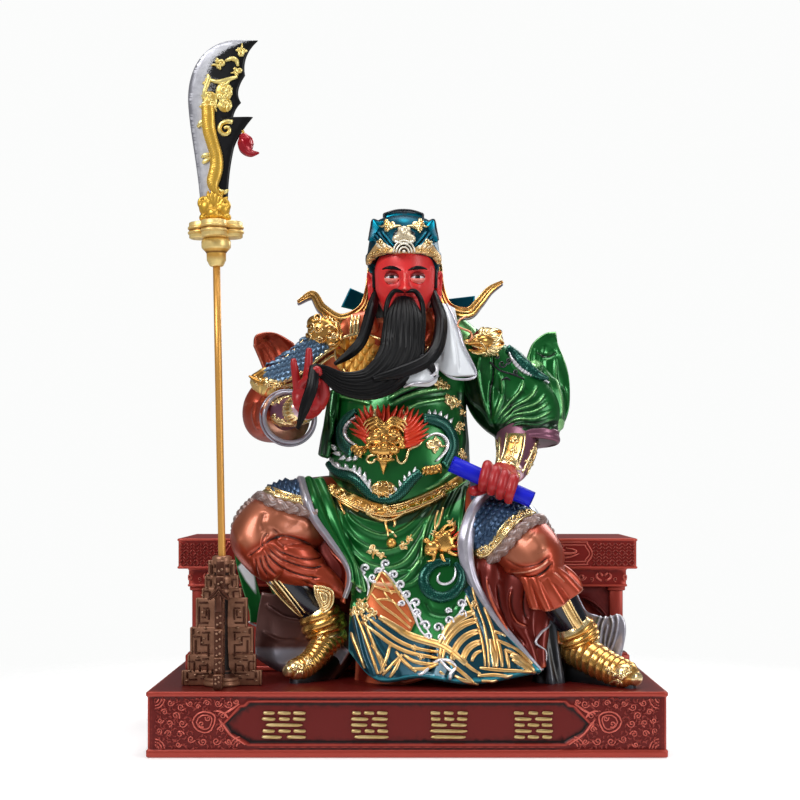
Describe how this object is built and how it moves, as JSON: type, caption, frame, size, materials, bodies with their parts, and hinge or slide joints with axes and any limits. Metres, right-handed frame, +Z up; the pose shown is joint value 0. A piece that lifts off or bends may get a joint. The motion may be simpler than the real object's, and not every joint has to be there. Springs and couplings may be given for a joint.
{
  "type": "seated general altar statue",
  "caption": "Painted altar statue of a bearded armoured general seated on a low bench, scroll in fist, crescent polearm upright in a stand beside the knee, on a carved plinth.",
  "frame": {"origin": "middle of the plinth's underside, where the statue stands on its shelf", "axes": "+Z up, +X to the viewer's right when facing the statue, -Y the way the figure looks"},
  "size_m": [0.36, 0.22, 0.5039],
  "materials": {
    "red_lacquer": "deep red-brown lacquer, glossy on top, worn lighter on the relief",
    "green_lacquer": "translucent metallic green lacquer, dark in the folds",
    "blue_paint": "plain satin blue",
    "satin_gold": "satin gold paint",
    "blade_steel": "silver edge speckled into a black back",
    "crimson_lacquer": "glossy crimson lacquer",
    "brown_bronze": "brown bronze paint with bright worn edges",
    "bright_gold": "bright champagne gold plate",
    "copper_lacquer": "metallic copper-orange lacquer",
    "silver_trim": "metallic silver-lavender paint",
    "red_skin": "matt red skin paint",
    "black_hair": "matt black, combed",
    "teal_lacquer": "metallic teal lacquer",
    "scale_blue": "blue-grey metallic scales",
    "dragon_green": "blue-green metallic scales with silver belly",
    "mauve_lacquer": "metallic mauve lacquer",
    "navy_lacquer": "glossy navy-black lacquer",
    "white_satin": "white satin paint",
    "hem_pattern": "teal and gold wave pattern"
  },
  "bodies": {
    "root": {"plinth": "red_lacquer", "bench": "red_lacquer", "figure": "green_lacquer", "scroll": "blue_paint", "polearm_shaft": "satin_gold", "polearm_collar": "satin_gold", "polearm_blade": "blade_steel", "polearm_tassel": "crimson_lacquer", "polearm_holder": "brown_bronze"}
  },
  "joints": []
}
